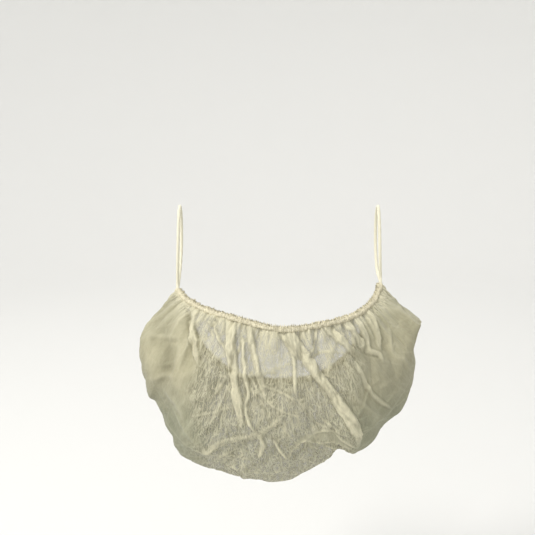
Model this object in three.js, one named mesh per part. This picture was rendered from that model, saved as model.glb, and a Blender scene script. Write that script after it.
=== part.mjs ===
import * as THREE from 'three';

// A disposable beard net in its worn form. Millimetres, +Z up, front towards -Y.
// The origin lies midway between the undersides of the two ear loops' tops.

// Mouth of the bag
const mouthWidth = 157;
const mouthReach = 86;
const mouthDrop = 66;
const mouthSetForward = 12;

// Elastic edge round the mouth
const edgeDiameter = 3.2;
const edgeCrimpHeight = 0.3;
const edgeCrimpCount = 92;
const edgeSides = 6;

// Ear loops
const loopHeight = 61;
const loopWidth = 24;
const loopLean = 2;
const loopDiameter = 2.4;
const loopSides = 8;
const loopSteps = 44;

// Bag of cloth
const bagWidth = 210;
const bagDrop = 133;
const frontSlack = 0.46;
const rearSlack = 0.4;
const bagSideRound = 15;
const bagBottomRound = 32;
const wall = 1;

// How far the cloth swings forward or back as it leaves the middle of the front and the rear edge,
// and how steeply it leaves the ends of the mouth, as shares of its way down or outwards
const frontSwing = -0.3;
const rearSwing = 0.12;
const endSteepness = 0.3;

// Gathers that run from the elastic into the cloth. They are full at gatherRise from it, and uneven:
// gatherUnevenness is in radians of a gather.
const gatherCount = 21;
const gatherHeight = 1.7;
const gatherLength = 55;
const gatherRise = 8.4;
const gatherAtRim = 0.4;
const gatherUnevenness = 0.7;

// Loose folds across the front of the bag
const foldWidth = 11;
const foldHeight = 7;

// Space that pieces keep where they touch
const clearance = 0.3;

// Fineness of the cloth's surface
const acrossSteps = 84;
const frontSteps = 13;
const rearSteps = 9;

// Once round the mouth: the front edge from left to right, then the rear edge back to the left.
// side is a share of half the mouth's width, fore of its reach, drop of its drop.
const mouthSections = [
  { side: -1.0, fore: 0.0, drop: 0.035 },
  { side: -0.87, fore: 0.37, drop: 0.0 },
  { side: -0.66, fore: 0.67, drop: 0.0 },
  { side: -0.36, fore: 0.9, drop: 0.015 },
  { side: 0.0, fore: 1.0, drop: 0.075 },
  { side: 0.36, fore: 0.9, drop: 0.065 },
  { side: 0.66, fore: 0.67, drop: 0.065 },
  { side: 0.88, fore: 0.36, drop: 0.01 },
  { side: 1.0, fore: 0.0, drop: -0.045 },
  { side: 0.93, fore: -0.05, drop: 0.33 },
  { side: 0.74, fore: 0.04, drop: 0.73 },
  { side: 0.4, fore: 0.21, drop: 0.97 },
  { side: 0.0, fore: 0.28, drop: 1.0 },
  { side: -0.4, fore: 0.21, drop: 0.97 },
  { side: -0.74, fore: 0.04, drop: 0.73 },
  { side: -0.93, fore: -0.05, drop: 0.33 },
];
const frontSpans = 8;

// The line where the bag turns from front to back, from the left end of the mouth to the right end.
// side is a share of half the bag's width, fore of the mouth's reach, drop of the bag's drop.
const bagSections = [
  { side: -0.885, fore: 0.233, drop: 0.088 },
  { side: -0.972, fore: 0.372, drop: 0.214 },
  { side: -0.987, fore: 0.395, drop: 0.285 },
  { side: -0.977, fore: 0.419, drop: 0.421 },
  { side: -0.935, fore: 0.442, drop: 0.504 },
  { side: -0.866, fore: 0.465, drop: 0.593 },
  { side: -0.781, fore: 0.512, drop: 0.724 },
  { side: -0.746, fore: 0.535, drop: 0.802 },
  { side: -0.682, fore: 0.558, drop: 0.87 },
  { side: -0.607, fore: 0.581, drop: 0.895 },
  { side: -0.362, fore: 0.628, drop: 0.935 },
  { side: -0.088, fore: 0.651, drop: 0.972 },
  { side: 0.127, fore: 0.64, drop: 0.948 },
  { side: 0.313, fore: 0.605, drop: 0.875 },
  { side: 0.412, fore: 0.63, drop: 0.795 },
  { side: 0.51, fore: 0.7, drop: 0.788 },
  { side: 0.622, fore: 0.65, drop: 0.725 },
  { side: 0.697, fore: 0.605, drop: 0.664 },
  { side: 0.865, fore: 0.465, drop: 0.59 },
  { side: 0.909, fore: 0.442, drop: 0.522 },
  { side: 0.962, fore: 0.407, drop: 0.341 },
  { side: 0.938, fore: 0.395, drop: 0.28 },
  { side: 1.0, fore: 0.349, drop: 0.144 },
  { side: 0.878, fore: 0.186, drop: 0.047 },
];

// Folds seen from the front, from one end to the other. Sides are shares of half the bag's width and
// drops of the bag's drop. wide and high are shares of a fold's width and height; a dent is below zero.
const frontFolds = [
  { fromSide: -0.31, fromDrop: 0.03, toSide: -0.28, toDrop: 0.38, wide: 0.9, high: 1.0 },
  { fromSide: -0.28, fromDrop: 0.38, toSide: -0.25, toDrop: 0.53, wide: 0.9, high: 0.8 },
  { fromSide: -0.43, fromDrop: 0.05, toSide: -0.31, toDrop: 0.25, wide: 0.6, high: 0.6 },
  { fromSide: -0.2, fromDrop: 0.04, toSide: -0.1, toDrop: 0.37, wide: 0.7, high: 0.8 },
  { fromSide: 0.03, fromDrop: 0.06, toSide: 0.22, toDrop: 0.26, wide: 1.0, high: 1.1 },
  { fromSide: 0.22, fromDrop: 0.26, toSide: 0.46, toDrop: 0.53, wide: 1.0, high: 1.2 },
  { fromSide: 0.46, fromDrop: 0.53, toSide: 0.51, toDrop: 0.64, wide: 0.9, high: 0.9 },
  { fromSide: 0.28, fromDrop: 0.03, toSide: 0.49, toDrop: 0.2, wide: 0.7, high: 0.8 },
  { fromSide: 0.41, fromDrop: 0.03, toSide: 0.57, toDrop: 0.19, wide: 0.7, high: 0.8 },
  { fromSide: -0.13, fromDrop: 0.58, toSide: -0.51, toDrop: 0.75, wide: 0.8, high: 0.7 },
  { fromSide: -0.13, fromDrop: 0.58, toSide: -0.14, toDrop: 0.73, wide: 0.7, high: 0.8 },
  { fromSide: -0.13, fromDrop: 0.58, toSide: 0.02, toDrop: 0.47, wide: 0.7, high: 0.6 },
  { fromSide: 0.05, fromDrop: 0.74, toSide: 0.14, toDrop: 0.6, wide: 0.7, high: 0.7 },
  { fromSide: 0.14, fromDrop: 0.6, toSide: 0.32, toDrop: 0.57, wide: 0.9, high: 1.1 },
  { fromSide: 0.32, fromDrop: 0.57, toSide: 0.5, toDrop: 0.66, wide: 0.9, high: 0.9 },
  { fromSide: -0.72, fromDrop: 0.06, toSide: -0.75, toDrop: 0.42, wide: 1.2, high: -0.8 },
  { fromSide: -0.58, fromDrop: 0.06, toSide: -0.49, toDrop: 0.4, wide: 1.1, high: -0.6 },
  { fromSide: 0.48, fromDrop: 0.35, toSide: 0.76, toDrop: 0.53, wide: 1.1, high: -0.7 },
];

// One row for each bend of an ear loop, from its front foot over the top to its rear foot.
// back is a share of the loop's width behind its foot, rise of the loop's height.
const loopSections = [
  { back: 0.06, rise: 0.33 },
  { back: 0.16, rise: 0.68 },
  { back: 0.3, rise: 0.89 },
  { back: 0.5, rise: 1.0 },
  { back: 0.8, rise: 0.91 },
  { back: 1.0, rise: 0.68 },
  { back: 0.95, rise: 0.4 },
  { back: 0.6, rise: 0.17 },
];

const footLevel = -loopHeight;
const edgeReach = edgeDiameter / 2 + edgeCrimpHeight;
const up = new THREE.Vector3(0, 0, 1);
const forward = new THREE.Vector3(0, -1, 0);

const clothMaterial = new THREE.MeshStandardMaterial({ color: '#d3cca6', roughness: 0.9, metalness: 0 });
const edgeMaterial = new THREE.MeshStandardMaterial({ color: '#dcd2a8', roughness: 0.85, metalness: 0 });
const loopMaterial = new THREE.MeshStandardMaterial({ color: '#e0dac0', roughness: 0.8, metalness: 0 });

function mouthPoint(row) {
  return new THREE.Vector3(
    (row.side * mouthWidth) / 2,
    -mouthSetForward - row.fore * mouthReach,
    footLevel - row.drop * mouthDrop,
  );
}

function bagPoint(row) {
  return new THREE.Vector3(
    (row.side * bagWidth) / 2,
    -mouthSetForward - row.fore * mouthReach,
    footLevel - row.drop * bagDrop,
  );
}

const mouthCurve = new THREE.CatmullRomCurve3(mouthSections.map(mouthPoint), true, 'centripetal');
const frontShare = frontSpans / mouthSections.length;

// Where a section of the bag meets the front and the rear edge, as turns round the mouth
function frontTurn(across) {
  return across * frontShare;
}

function rearTurn(across) {
  return (1 - across * (1 - frontShare)) % 1;
}

function squareTo(way, turn) {
  const along = mouthCurve.getTangent(turn);
  return way.clone().addScaledVector(along, -way.dot(along)).normalize();
}

// The way the cloth leaves the elastic: outwards at the ends of the mouth, and down in its middle
function leavingWay(turn, across, swing) {
  const angle = Math.PI * across;
  const way = new THREE.Vector3(
    -Math.cos(angle),
    swing * Math.sin(angle),
    -(endSteepness + (1 - endSteepness) * Math.sin(angle)),
  );
  return squareTo(way, turn);
}

function rimPoint(turn, way) {
  return mouthCurve.getPoint(turn).addScaledVector(way, edgeReach + clearance);
}

function bagTurnCurve() {
  const leftEnd = rimPoint(frontTurn(0), leavingWay(frontTurn(0), 0, 0));
  const rightEnd = rimPoint(frontTurn(1), leavingWay(frontTurn(1), 1, 0));
  const points = [leftEnd, ...bagSections.map(bagPoint), rightEnd];
  const curve = new THREE.CatmullRomCurve3(points, false, 'centripetal');
  curve.arcLengthDivisions = 600;
  return curve;
}

const bagTurn = bagTurnCurve();

// One section of the bag: down the front from the elastic to the turn, then up the rear
function bagProfile(across) {
  const turnAt = bagTurn.getPointAt(across);
  const round = bagSideRound + (bagBottomRound - bagSideRound) * Math.sin(Math.PI * across);
  const frontWay = leavingWay(frontTurn(across), across, frontSwing);
  const rearWay = leavingWay(rearTurn(across), across, rearSwing);
  const frontRim = rimPoint(frontTurn(across), frontWay);
  const rearRim = rimPoint(rearTurn(across), rearWay);
  const frontSpan = frontRim.distanceTo(turnAt);
  const rearSpan = rearRim.distanceTo(turnAt);
  const front = new THREE.CubicBezierCurve3(
    frontRim,
    frontRim.clone().addScaledVector(frontWay, frontSpan * frontSlack),
    turnAt.clone().addScaledVector(forward, Math.min(round, frontSpan * frontSlack)),
    turnAt,
  );
  const rear = new THREE.CubicBezierCurve3(
    turnAt,
    turnAt.clone().addScaledVector(forward, -Math.min(round, rearSpan * rearSlack)),
    rearRim.clone().addScaledVector(rearWay, rearSpan * rearSlack),
    rearRim,
  );
  const profile = [];
  for (let step = 0; step <= frontSteps; step += 1) {
    const share = step / frontSteps;
    profile.push({ point: front.getPoint(share), fromRim: share * frontSpan, folded: 1 });
  }
  for (let step = 0; step <= rearSteps; step += 1) {
    const share = Math.max(step / rearSteps, clearance / rearSpan);
    profile.push({ point: rear.getPoint(share), fromRim: (1 - share) * rearSpan, folded: 0 });
  }
  return profile;
}

// Gathers and folds are pinched flat by the elastic and grow away from it
function grownFrom(fromRim, atRim) {
  return Math.min(1, atRim + ((1 - atRim) * fromRim) / gatherRise);
}

function gatherLift(across, fromRim) {
  const turn = 2 * Math.PI * across;
  const wander = gatherUnevenness * (Math.sin(3 * turn) + Math.sin(7 * turn + 1));
  const wave = Math.cos(gatherCount * turn + wander);
  const fade = Math.max(0, 1 - fromRim / gatherLength) ** 2;
  return gatherHeight * wave * fade * grownFrom(fromRim, gatherAtRim) * Math.sin(turn / 2);
}

// The highest fold or deepest dent at a place on the front
function foldLift({ point, fromRim, folded }) {
  let lift = 0;
  for (const fold of frontFolds) {
    const start = bagPoint({ side: fold.fromSide, fore: 0, drop: fold.fromDrop });
    const end = bagPoint({ side: fold.toSide, fore: 0, drop: fold.toDrop });
    const seen = point.clone().setY(start.y);
    const nearest = new THREE.Line3(start, end).closestPointToPoint(seen, true, new THREE.Vector3());
    const off = nearest.distanceTo(seen) / ((fold.wide * foldWidth) / 2);
    const here = fold.high * Math.exp(-off * off);
    lift = Math.abs(here) > Math.abs(lift) ? here : lift;
  }
  return foldHeight * lift * folded * grownFrom(fromRim, 0);
}

// Cloth bends gently, so each lift is drawn towards those of the corners beside, above and below it
function evenedLifts(lifts) {
  return lifts.map((column, at) => {
    const left = lifts[Math.max(at - 1, 0)];
    const right = lifts[Math.min(at + 1, lifts.length - 1)];
    return column.map((lift, row) => {
      const above = column[Math.max(row - 1, 0)];
      const below = column[Math.min(row + 1, column.length - 1)];
      return lift / 2 + (left[row] + right[row] + above + below) / 8;
    });
  });
}

function indexedGeometry(points, triangles) {
  const geometry = new THREE.BufferGeometry();
  geometry.setAttribute('position', new THREE.Float32BufferAttribute(points.flatMap((p) => p.toArray()), 3));
  geometry.setIndex(triangles.flat());
  geometry.computeVertexNormals();
  return geometry;
}

function moveAlongNormals(points, triangles, distances) {
  const normals = indexedGeometry(points, triangles).getAttribute('normal');
  return points.map((point, corner) => {
    const normal = new THREE.Vector3().fromBufferAttribute(normals, corner);
    return point.clone().addScaledVector(normal, distances[corner]);
  });
}

// The bag's front panel ends on its last front row, and its rear panel starts on the next
const rowCount = frontSteps + rearSteps + 2;
const frontRows = { first: 0, last: frontSteps };
const rearRows = { first: frontSteps + 1, last: rowCount - 1 };
const lastCorner = 1 + (acrossSteps - 1) * rowCount;

// Corners are counted down each section in turn; at each end of the mouth a section is one corner
function cornerAt(column, row) {
  if (column === 0) {
    return 0;
  }
  return column === acrossSteps ? lastCorner : 1 + (column - 1) * rowCount + row;
}

function clothTriangles({ first, last }) {
  const triangles = [];
  for (let column = 0; column < acrossSteps; column += 1) {
    for (let row = first; row < last; row += 1) {
      const below = cornerAt(column, row + 1);
      const beside = cornerAt(column + 1, row);
      triangles.push([cornerAt(column, row), below, beside]);
      triangles.push([beside, below, cornerAt(column + 1, row + 1)]);
    }
  }
  return triangles.filter(([a, b, c]) => a !== b && b !== c && c !== a);
}

function rimCorners({ first, last }) {
  const rim = [];
  for (let column = 0; column <= acrossSteps; column += 1) {
    rim.push(cornerAt(column, first));
  }
  for (let column = acrossSteps - 1; column > 0; column -= 1) {
    rim.push(cornerAt(column, last));
  }
  return rim;
}

// The whole bag's corners: its sections side by side, gathered and folded, outside and inside
function pouchCorners() {
  const columns = [];
  for (let column = 1; column < acrossSteps; column += 1) {
    columns.push(column / acrossSteps);
  }
  const profiles = columns.map(bagProfile);
  const folds = evenedLifts(evenedLifts(profiles.map((profile) => profile.map(foldLift))));
  const lifts = profiles.map((profile, column) =>
    profile.map((at, row) => folds[column][row] + gatherLift(columns[column], at.fromRim)),
  );
  const places = profiles.map((profile) => profile.map((at) => at.point));
  const points = [bagTurn.getPointAt(0), ...places.flat(), bagTurn.getPointAt(1)];
  const cloth = clothTriangles({ first: 0, last: rowCount - 1 });
  const outer = moveAlongNormals(points, cloth, [0, ...lifts.flat(), 0]);
  const inner = moveAlongNormals(outer, cloth, outer.map(() => -wall));
  return [...outer, ...inner];
}

// A panel of the bag: its rows of the cloth, closed round its rim
function panelGeometry(corners, rows) {
  const cloth = clothTriangles(rows);
  const inside = (corner) => corner + corners.length / 2;
  const solid = [...cloth, ...cloth.map(([a, b, c]) => [inside(a), inside(c), inside(b)])];
  const rim = rimCorners(rows);
  rim.forEach((here, place) => {
    const next = rim[(place + 1) % rim.length];
    solid.push([here, next, inside(next)], [here, inside(next), inside(here)]);
  });
  const used = [...new Set(solid.flat())];
  const order = new Map(used.map((corner, place) => [corner, place]));
  const triangles = solid.map((triangle) => triangle.map((corner) => order.get(corner)));
  return indexedGeometry(used.map((corner) => corners[corner]), triangles);
}

// The elastic edge: one closed ring whose width swells and narrows at each crimp
function edgeGeometry() {
  const stepCount = edgeCrimpCount * 2;
  const frames = mouthCurve.computeFrenetFrames(stepCount, true);
  const points = [];
  const triangles = [];
  for (let step = 0; step < stepCount; step += 1) {
    const centre = mouthCurve.getPointAt(step / stepCount);
    const radius = edgeDiameter / 2 + (step % 2) * edgeCrimpHeight;
    const next = (step + 1) % stepCount;
    for (let side = 0; side < edgeSides; side += 1) {
      const angle = (2 * Math.PI * side) / edgeSides;
      const beside = (side + 1) % edgeSides;
      points.push(
        centre
          .clone()
          .addScaledVector(frames.normals[step], radius * Math.cos(angle))
          .addScaledVector(frames.binormals[step], radius * Math.sin(angle)),
      );
      triangles.push(
        [step * edgeSides + side, step * edgeSides + beside, next * edgeSides + side],
        [next * edgeSides + side, step * edgeSides + beside, next * edgeSides + beside],
      );
    }
  }
  return indexedGeometry(points, triangles);
}

function loopPoint(row, hand) {
  return new THREE.Vector3(
    hand * (mouthWidth / 2 - row.rise * loopLean),
    -mouthSetForward + row.back * loopWidth,
    footLevel + row.rise * (loopHeight + loopDiameter / 2),
  );
}

// An ear loop: from the elastic edge up, over the top and back down beside its own foot
function loopGeometry(hand) {
  const endTurn = hand < 0 ? frontTurn(0) : frontTurn(1);
  const footWay = squareTo(up, endTurn);
  const foreWay = mouthCurve.getTangent(endTurn).multiplyScalar(-hand);
  const footStart = mouthCurve.getPoint(endTurn).addScaledVector(footWay, edgeReach + clearance);
  const footSpread = loopDiameter / 2 + clearance;
  const frontFoot = footStart.clone().addScaledVector(foreWay, footSpread);
  const rearFoot = footStart.clone().addScaledVector(foreWay, -footSpread);
  const path = new THREE.CatmullRomCurve3(
    [
      frontFoot,
      frontFoot.clone().addScaledVector(footWay, loopDiameter),
      ...loopSections.map((row) => loopPoint(row, hand)),
      rearFoot.clone().addScaledVector(footWay, loopDiameter),
      rearFoot,
    ],
    false,
    'centripetal',
  );
  const section = new THREE.Shape();
  for (let side = 0; side < loopSides; side += 1) {
    const angle = (2 * Math.PI * side) / loopSides;
    const x = (loopDiameter / 2) * Math.cos(angle);
    const y = (loopDiameter / 2) * Math.sin(angle);
    section[side === 0 ? 'moveTo' : 'lineTo'](x, y);
  }
  section.closePath();
  return new THREE.ExtrudeGeometry(section, { steps: loopSteps, extrudePath: path, bevelEnabled: false });
}

function piece(name, geometry, material) {
  const mesh = new THREE.Mesh(geometry, material);
  mesh.name = name;
  return mesh;
}

const corners = pouchCorners();
const beardNet = new THREE.Group();
beardNet.add(piece('pouch_front', panelGeometry(corners, frontRows), clothMaterial));
beardNet.add(piece('pouch_rear', panelGeometry(corners, rearRows), clothMaterial));
beardNet.add(piece('elastic_edge', edgeGeometry(), edgeMaterial));
beardNet.add(piece('ear_loop_left', loopGeometry(-1), loopMaterial));
beardNet.add(piece('ear_loop_right', loopGeometry(1), loopMaterial));

export default beardNet;
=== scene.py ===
import bpy
import math
import numpy as np
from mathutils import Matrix, Vector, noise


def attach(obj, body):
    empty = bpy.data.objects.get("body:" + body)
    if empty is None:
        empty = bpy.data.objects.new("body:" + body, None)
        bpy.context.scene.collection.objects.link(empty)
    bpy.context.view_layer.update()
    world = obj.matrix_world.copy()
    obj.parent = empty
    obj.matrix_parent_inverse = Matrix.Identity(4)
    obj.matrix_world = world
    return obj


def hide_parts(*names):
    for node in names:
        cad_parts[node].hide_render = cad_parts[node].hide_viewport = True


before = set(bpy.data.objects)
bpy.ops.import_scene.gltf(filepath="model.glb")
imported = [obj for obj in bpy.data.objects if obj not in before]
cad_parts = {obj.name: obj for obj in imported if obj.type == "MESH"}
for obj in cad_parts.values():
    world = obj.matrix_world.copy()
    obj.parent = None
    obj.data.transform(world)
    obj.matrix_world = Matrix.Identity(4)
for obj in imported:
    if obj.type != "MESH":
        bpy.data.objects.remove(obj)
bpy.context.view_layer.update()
mm = 0.001
randomSeed = 7
tiny = 1e-12  # keeps a divisor from being nothing


def meshPiece(name, points, faces, uvs):
    mesh = bpy.data.meshes.new(name)
    mesh.from_pydata([tuple(point) for point in np.asarray(points) * mm], [], faces)
    mesh.uv_layers.new(name="clothRun").data.foreach_set("uv", np.array(uvs, float).ravel())
    mesh.polygons.foreach_set("use_smooth", [True] * len(mesh.polygons))
    mesh.update()
    piece = bpy.data.objects.new(name, mesh)
    bpy.context.collection.objects.link(piece)
    return piece


def addAttributes(piece, attributes):
    for key, values in attributes.items():
        piece.data.attributes.new(key, "FLOAT", "POINT").data.foreach_set("value", np.array(values, float))


# Curves: a smooth line through points, of the same kind as the solids' mouth and turn

def smoothLine(points, closed, turns):
    points = np.asarray(points, float)
    count = len(points)
    spans = count if closed else count - 1
    place = np.clip(np.asarray(turns, float) * spans, 0, spans - 1e-9)
    first = np.floor(place).astype(int)
    share = (place - first)[:, None]
    if closed:
        pick = [points[(first + step) % count] for step in (-1, 0, 1, 2)]
    else:
        ends = np.vstack([2 * points[0] - points[1], points, 2 * points[-1] - points[-2]])
        pick = [ends[first + step] for step in (0, 1, 2, 3)]
    before, here, there, after = pick
    gap0, gap1, gap2 = (np.linalg.norm(b - a, axis=1, keepdims=True) ** 0.5
                        for a, b in ((before, here), (here, there), (there, after)))
    leave = ((here - before) / gap0 - (there - before) / (gap0 + gap1) + (there - here) / gap1) * gap1
    arrive = ((there - here) / gap1 - (after - here) / (gap1 + gap2) + (after - there) / gap2) * gap1
    square = -3 * here + 3 * there - 2 * leave - arrive
    cube = 2 * here - 2 * there + leave + arrive
    return here + leave * share + square * share ** 2 + cube * share ** 3


def runAlong(line):
    # how long the line is up to each of its points
    return np.concatenate([[0], np.cumsum(np.linalg.norm(np.diff(line, axis=0), axis=1))])


def evenLine(points, closed, shares):
    dense = smoothLine(points, closed, np.linspace(0, 1, 4001))
    run = runAlong(dense)
    wanted = np.asarray(shares, float) * run[-1]
    return np.stack([np.interp(wanted, run, dense[:, axis]) for axis in range(3)], axis=1)


def unit(vectors):
    return vectors / np.maximum(np.linalg.norm(vectors, axis=-1, keepdims=True), tiny)


def softStep(low, high, value):
    share = np.clip((value - low) / (high - low), 0, 1)
    return share * share * (3 - 2 * share)


# The mouth: where the elastic edge runs, in millimetres

mouth = {
    "width": 157, "reach": 86, "drop": 66, "setForward": 12, "footLevel": -61, "frontSpans": 8,
    # once round: side, fore and drop as shares of half the width, the reach and the drop
    "sections": [
        (-1.0, 0.0, 0.035), (-0.87, 0.37, 0.0), (-0.66, 0.67, 0.0), (-0.36, 0.9, 0.015),
        (0.0, 1.0, 0.075), (0.36, 0.9, 0.065), (0.66, 0.67, 0.065), (0.88, 0.36, 0.01),
        (1.0, 0.0, -0.045), (0.93, -0.05, 0.33), (0.74, 0.04, 0.73), (0.4, 0.21, 0.97),
        (0.0, 0.28, 1.0), (-0.4, 0.21, 0.97), (-0.74, 0.04, 0.73), (-0.93, -0.05, 0.33),
    ],
}


def placed(shares, width, drop):
    return [(side * width / 2, -mouth["setForward"] - fore * mouth["reach"], mouth["footLevel"] - fall * drop)
            for side, fore, fall in shares]


def mouthAt(turns):
    return smoothLine(placed(mouth["sections"], mouth["width"], mouth["drop"]), True, np.asarray(turns) % 1)


def mouthWay(turns):
    step = 1e-4
    return unit(mouthAt(np.asarray(turns) + step) - mouthAt(np.asarray(turns) - step))



# The bag of cloth

bag = {
    "width": 210, "drop": 133, "frontSlack": 0.46, "rearSlack": 0.4, "sideRound": 11, "bottomRound": 30,
    "frontSwing": -0.3, "rearSwing": 0.12, "endSteepness": 0.3,
    "rimReach": 0.9,  # the cloth starts inside the gathered edge
    "columns": 420, "frontRows": 118, "rearRows": 72,
    # small points on the outline: side, level, reach
    "spikes": [(-95.6, -134, 1.8), (-101, -93, 0.8), (96, -141, 2.4), (105.5, -79, 0.6)],
    "spikeWide": 1.1,
    # the turn from front to back, left to right: side, fore, drop
    "turn": [
        (-0.861, 0.233, 0.102), (-0.951, 0.372, 0.223), (-0.97, 0.395, 0.284), (-0.963, 0.419, 0.419),
        (-0.925, 0.442, 0.502), (-0.908, 0.452, 0.545), (-0.872, 0.46, 0.557), (-0.852, 0.465, 0.585),
        (-0.766, 0.512, 0.719), (-0.716, 0.535, 0.79), (-0.655, 0.558, 0.84), (-0.583, 0.581, 0.869),
        (-0.361, 0.628, 0.934), (-0.087, 0.651, 0.969), (0.127, 0.64, 0.947), (0.3, 0.605, 0.857),
        (0.41, 0.63, 0.783), (0.515, 0.7, 0.795), (0.63, 0.65, 0.74), (0.694, 0.605, 0.664),
        (0.868, 0.465, 0.593), (0.909, 0.442, 0.522), (0.938, 0.407, 0.344), (0.928, 0.395, 0.281),
        (0.973, 0.372, 0.19), (1.007, 0.35, 0.136), (0.98, 0.32, 0.113), (0.871, 0.186, 0.049),
    ],
}


def leavingWay(turns, across, swing):
    angle = np.pi * across
    steep = bag["endSteepness"]
    way = np.stack([-np.cos(angle), swing * np.sin(angle), -(steep + (1 - steep) * np.sin(angle))], axis=1)
    along = mouthWay(turns)
    return unit(way - np.sum(way * along, axis=1, keepdims=True) * along)


def bezier(start, leave, arrive, end, shares):
    t = shares[None, :, None]
    start, leave, arrive, end = (p[:, None, :] for p in (start, leave, arrive, end))
    return ((1 - t) ** 3 * start + 3 * (1 - t) ** 2 * t * leave
            + 3 * (1 - t) * t ** 2 * arrive + t ** 3 * end)


def bagGrid():
    across = np.linspace(0, 1, bag["columns"] + 1)
    frontShare = mouth["frontSpans"] / len(mouth["sections"])
    frontTurn = across * frontShare
    rearTurn = 1 - across * (1 - frontShare)
    frontWay = leavingWay(frontTurn, across, bag["frontSwing"])
    rearWay = leavingWay(rearTurn, across, bag["rearSwing"])
    frontRim = mouthAt(frontTurn) + frontWay * bag["rimReach"]
    rearRim = mouthAt(rearTurn) + rearWay * bag["rimReach"]
    turnPoints = placed(bag["turn"], bag["width"], bag["drop"])
    turnAt = evenLine([frontRim[0], *turnPoints, frontRim[-1]], False, across)
    roundness = bag["sideRound"] + (bag["bottomRound"] - bag["sideRound"]) * np.sin(np.pi * across)
    frontSpan = np.linalg.norm(frontRim - turnAt, axis=1)
    rearSpan = np.linalg.norm(rearRim - turnAt, axis=1)
    forward = np.array([[0, -1.0, 0]])
    frontReach = np.minimum(roundness, frontSpan * bag["frontSlack"])[:, None]
    rearReach = np.minimum(roundness, rearSpan * bag["rearSlack"])[:, None]
    frontShares = np.linspace(0, 1, bag["frontRows"] + 1)
    rearShares = np.linspace(0, 1, bag["rearRows"] + 1)[1:]
    front = bezier(frontRim, frontRim + frontWay * (frontSpan * bag["frontSlack"])[:, None],
                   turnAt + forward * frontReach, turnAt, frontShares)
    rear = bezier(turnAt, turnAt - forward * rearReach,
                  rearRim + rearWay * (rearSpan * bag["rearSlack"])[:, None], rearRim, rearShares)
    places = np.concatenate([front, rear], axis=1)
    fromRim = np.concatenate([frontSpan[:, None] * frontShares[None, :],
                              rearSpan[:, None] * (1 - rearShares)[None, :]], axis=1)
    onFront = np.concatenate([np.ones_like(frontShares), np.zeros_like(rearShares)])
    return places, across, fromRim, onFront


def gridNormals(places):
    sideways = np.gradient(places, axis=0)
    down = np.gradient(places, axis=1)
    normals = unit(np.cross(down, sideways))
    normals[0], normals[-1] = normals[1], normals[-2]
    return normals


# Loose folds across the front, in millimetres: width, height, share of doubled cloth, path of (side, level)
frontFolds = [
    (6.5, 2.2, 1.0, [(-33, -64), (-32, -82), (-30, -103), (-28, -116), (-26, -131)]),
    (2.2, 1.3, 0.8, [(-45, -67), (-40, -76), (-35, -83), (-31, -93)]),
    (4.0, 1.8, 0.9, [(-21, -66), (-18, -80), (-14, -96), (-10, -110)]),
    (2.2, 1.2, 1.0, [(-25, -74), (-23, -97), (-21, -109), (-23, -118), (-20, -130), (-14, -138)]),
    (6.8, 2.6, 1.0, [(3, -69), (8, -73), (15, -83), (23, -95), (33, -108), (40, -119), (48, -131),
     (53, -144), (54, -153)]),
    (2.0, 1.1, 0.95, [(5, -73), (8, -85), (9, -102), (10, -110)]),
    (4.2, 1.8, 0.9, [(29, -65), (39, -76), (51, -87)]),
    (4.4, 1.8, 0.9, [(43, -65), (52, -76), (59, -86)]),
    (5.0, 1.2, 0.6, [(-14, -138), (-26, -142), (-40, -148), (-54, -161)]),
    (3.4, 1.6, 0.9, [(-14, -138), (-12, -147), (-15, -158)]),
    (4.2, 1.4, 0.6, [(-14, -138), (-4, -129), (2, -123)]),
    (2.0, 1.1, 1.0, [(-5, -143), (5, -160)]),
    (2.8, 1.3, 1.0, [(15, -142), (10, -148), (5, -160)]),
    (5.5, 1.7, 0.85, [(-60, -62), (-61, -72), (-59, -84), (-56, -94)]),
    (1.8, 1.0, 0.6, [(-44, -112), (-35, -98)]),
    (1.6, 0.9, 0.6, [(24, -66), (21, -84)]),
    (4.0, 1.5, 0.6, [(60, -64), (68, -78), (70, -88)]),
    (2.6, 1.2, 0.5, [(50, -92), (63, -115), (79, -132)]),
    (2.6, 1.2, 1.0, [(1, -68), (5, -77), (11, -84)]),
    (1.3, 0.7, 0.7, [(-11, -102), (-2, -106), (7, -111), (9, -116)]),
    (1.2, 0.6, 0.6, [(-5, -105), (3, -108), (11, -112), (18, -110)]),
    (1.3, 0.7, 0.7, [(-48, -67), (-43, -71), (-38, -79)]),
    (1.5, 0.8, 0.75, [(22, -76), (19, -82), (18, -87)]),
    (1.2, 0.6, 0.6, [(24, -95), (30, -97), (36, -99)]),
    (1.7, 0.8, 0.45, [(-60, -131), (-52, -128), (-43, -124), (-31, -119)]),
    (1.8, 0.8, 0.65, [(28, -129), (34, -134), (41, -139)]),
    (2.0, 0.9, 0.75, [(14, -143), (21, -139), (32, -137), (42, -143), (53, -154)]),
    (3.0, 1.1, 0.6, [(52, -66), (60, -80), (62, -87), (69, -91), (73, -97)]),
    (1.6, 0.8, 0.6, [(-46, -165), (-38, -159), (-29, -153)]),
    (1.4, 0.7, 0.55, [(-38, -171), (-30, -162), (-24, -157)]),
    (1.3, 0.7, 0.6, [(22, -146), (23, -157)]),
    (1.3, 0.7, 0.6, [(19, -158), (13, -165)]),
    (1.4, 0.7, 0.55, [(-2, -144), (3, -135), (2, -126)]),
]

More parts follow.
